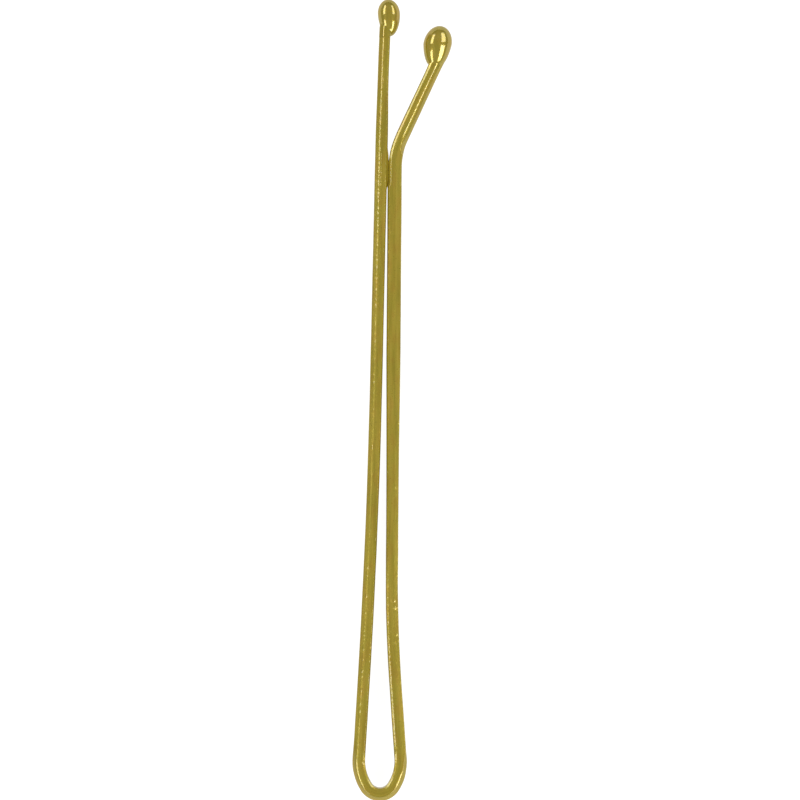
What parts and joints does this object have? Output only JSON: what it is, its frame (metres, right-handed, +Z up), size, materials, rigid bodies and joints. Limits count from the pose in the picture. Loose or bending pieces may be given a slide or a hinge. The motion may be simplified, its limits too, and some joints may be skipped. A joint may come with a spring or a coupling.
{
  "type": "bobby pin",
  "caption": "Plain bobby pin of flattened spring wire: a narrow bow, a straight leg and a leg that closes on it and kicks outwards, with dipped bead tips. The legs spring apart to grip hair.",
  "frame": {"origin": "under the middle of the pin's box, on the surface that the pin lies on", "axes": "+Y along the pin from its bow to its tips, +X towards the side that the bent leg kicks to, +Z up off the surface"},
  "size_m": [0.008, 0.065, 0.0023],
  "materials": {
    "lacquered_wire": "satin olive-gold lacquer on flattened spring-steel wire",
    "lacquer_drop": "glossy olive-gold dipped lacquer"
  },
  "bodies": {
    "bow": {"bow": "lacquered_wire"},
    "straight_leg": {"straight_leg": "lacquered_wire", "straight_leg_tip": "lacquer_drop"},
    "bent_leg": {"bent_leg": "lacquered_wire", "bent_leg_tip": "lacquer_drop"}
  },
  "joints": [
    {"name": "straight_leg_flex", "type": "hinge", "parent": "bow", "child": "straight_leg", "pos_m": [-0.00313, -0.02272, 0.00117], "axis": [0, 0, 1], "range_deg": [0, 12], "stiffness_Nm_per_rad": 0.8},
    {"name": "bent_leg_flex", "type": "hinge", "parent": "bow", "child": "bent_leg", "pos_m": [-0.00058, -0.02272, 0.00117], "axis": [0, 0, -1], "range_deg": [0, 12], "stiffness_Nm_per_rad": 0.8}
  ],
  "couplings": [
    {"joint": "bent_leg_flex", "follows": "straight_leg_flex", "ratio": 1}
  ]
}
